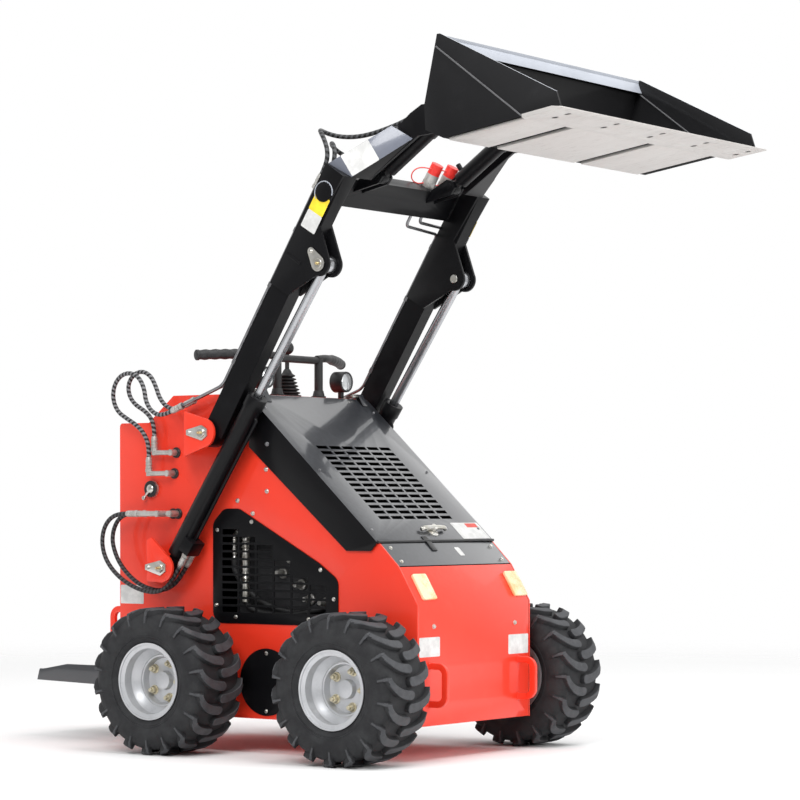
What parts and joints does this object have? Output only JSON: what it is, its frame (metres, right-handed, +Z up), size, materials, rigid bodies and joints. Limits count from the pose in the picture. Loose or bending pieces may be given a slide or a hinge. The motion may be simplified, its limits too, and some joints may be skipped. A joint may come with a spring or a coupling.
{
  "type": "stand-on skid steer loader",
  "caption": "Compact stand-on loader on lugged tyres with lift arms, a tilting bucket, hydraulic lines, an opening hood and a folding rear platform.",
  "frame": {"origin": "on the ground, in the middle of the overall length and width", "axes": "+X forwards, +Y to the machine's left, +Z up"},
  "size_m": [2.28, 1.164, 2.1137],
  "materials": {
    "body_paint": "satin red-orange paint",
    "black_paint": "gloss black paint",
    "tyre": "matte rubber",
    "rim_paint": "silver paint",
    "zinc": "zinc plated",
    "bare_steel": "worn bare steel",
    "chrome": "polished",
    "hose": "satin",
    "grip": "matte",
    "engine": "matte",
    "reflector": "amber",
    "lamp": "black housing",
    "coupler": "red caps on steel bodies"
  },
  "bodies": {
    "chassis": {"side_plate_left": "body_paint", "side_plate_right": "body_paint", "vent_grilles": "black_paint", "round_covers": "black_paint", "front_panel": "body_paint", "front_cover": "black_paint", "rear_panel": "body_paint", "belly_pan": "body_paint", "console": "body_paint", "engine": "engine", "reflectors": "reflector", "hood_hinges": "zinc", "arm_brackets": "body_paint", "pivot_pins": "zinc", "wheel_motors": "engine", "handlebar": "grip", "joystick": "grip", "work_lamps": "lamp", "side_fittings": "zinc", "upper_hose_outer": "hose", "upper_hose_inner": "hose", "lower_hose_outer": "hose", "lower_hose_inner": "hose"},
    "wheel_front_right": {"tyre_front_right": "tyre", "rim_front_right": "rim_paint"},
    "wheel_front_left": {"tyre_front_left": "tyre", "rim_front_left": "rim_paint"},
    "wheel_rear_right": {"tyre_rear_right": "tyre", "rim_rear_right": "rim_paint"},
    "wheel_rear_left": {"tyre_rear_left": "tyre", "rim_rear_left": "rim_paint"},
    "hood": {"hood": "black_paint", "hood_latch": "black_paint"},
    "platform": {"platform": "black_paint"},
    "boom": {"boom_arm_left": "black_paint", "boom_arm_right": "black_paint", "cross_tube": "black_paint", "couplers": "coupler", "boom_nose_left": "black_paint", "boom_nose_right": "black_paint", "boom_pipes": "zinc", "tilt_hose_long": "hose", "tilt_hose_short": "hose"},
    "lift_barrels": {"lift_barrels": "black_paint"},
    "lift_rods": {"lift_rods": "chrome"},
    "bucket": {"bucket_shell": "black_paint", "cutting_edge": "bare_steel", "wear_plates": "bare_steel", "quick_attach": "black_paint"},
    "tilt_barrels": {"tilt_barrels": "black_paint"},
    "tilt_rods": {"tilt_rods": "chrome"}
  },
  "joints": [
    {"name": "wheel_spin_front_right", "type": "hinge", "parent": "chassis", "child": "wheel_front_right", "pos_m": [0.33, -0.474, 0.2285], "axis": [0, 1, 0], "continuous": true},
    {"name": "wheel_spin_front_left", "type": "hinge", "parent": "chassis", "child": "wheel_front_left", "pos_m": [0.33, 0.474, 0.2285], "axis": [0, 1, 0], "continuous": true},
    {"name": "wheel_spin_rear_right", "type": "hinge", "parent": "chassis", "child": "wheel_rear_right", "pos_m": [-0.38, -0.474, 0.2285], "axis": [0, 1, 0], "continuous": true},
    {"name": "wheel_spin_rear_left", "type": "hinge", "parent": "chassis", "child": "wheel_rear_left", "pos_m": [-0.38, 0.474, 0.2285], "axis": [0, 1, 0], "continuous": true},
    {"name": "boom_lift", "type": "hinge", "parent": "chassis", "child": "boom", "pos_m": [-0.3, 0, 0.998], "axis": [0, 1, 0], "range_deg": [0, 86.5], "deforming": ["upper_hose_outer", "upper_hose_inner"]},
    {"name": "lift_barrel_swing", "type": "hinge", "parent": "chassis", "child": "lift_barrels", "pos_m": [-0.47, 0, 0.575], "axis": [0, 1, 0], "range_deg": [-0.5, 57], "deforming": ["lower_hose_outer", "lower_hose_inner"]},
    {"name": "lift_rod_slide", "type": "slide", "parent": "lift_barrels", "child": "lift_rods", "axis": [0.5564, 0, 0.8309], "range_m": [-0.37, 0.005]},
    {"name": "bucket_tilt", "type": "hinge", "parent": "boom", "child": "bucket", "pos_m": [0.595, 0, 1.93], "axis": [0, -1, 0], "range_deg": [-45, 92]},
    {"name": "tilt_barrel_swing", "type": "hinge", "parent": "boom", "child": "tilt_barrels", "pos_m": [0.237, 0, 1.776], "axis": [0, -1, 0], "range_deg": [-3, 5], "deforming": ["tilt_hose_long", "tilt_hose_short"]},
    {"name": "tilt_rod_slide", "type": "slide", "parent": "tilt_barrels", "child": "tilt_rods", "axis": [0.8249, 0, 0.5652], "range_m": [-0.14, 0.07]},
    {"name": "hood_open", "type": "hinge", "parent": "chassis", "child": "hood", "pos_m": [-0.1884, 0, 1.12899], "axis": [0, 1, 0], "range_deg": [-60, 0]},
    {"name": "platform_fold", "type": "hinge", "parent": "chassis", "child": "platform", "pos_m": [-0.76, 0, 0.205], "axis": [0, 1, 0], "range_deg": [0, 80]}
  ],
  "couplings": [
    {"joint": "lift_barrel_swing", "follows": "boom_lift", "ratio": 0.6486},
    {"joint": "lift_rod_slide", "follows": "boom_lift", "m_per_rad": -0.2426},
    {"joint": "tilt_barrel_swing", "follows": "bucket_tilt", "ratio": 0.045},
    {"joint": "tilt_rod_slide", "follows": "bucket_tilt", "m_per_rad": -0.0855}
  ]
}
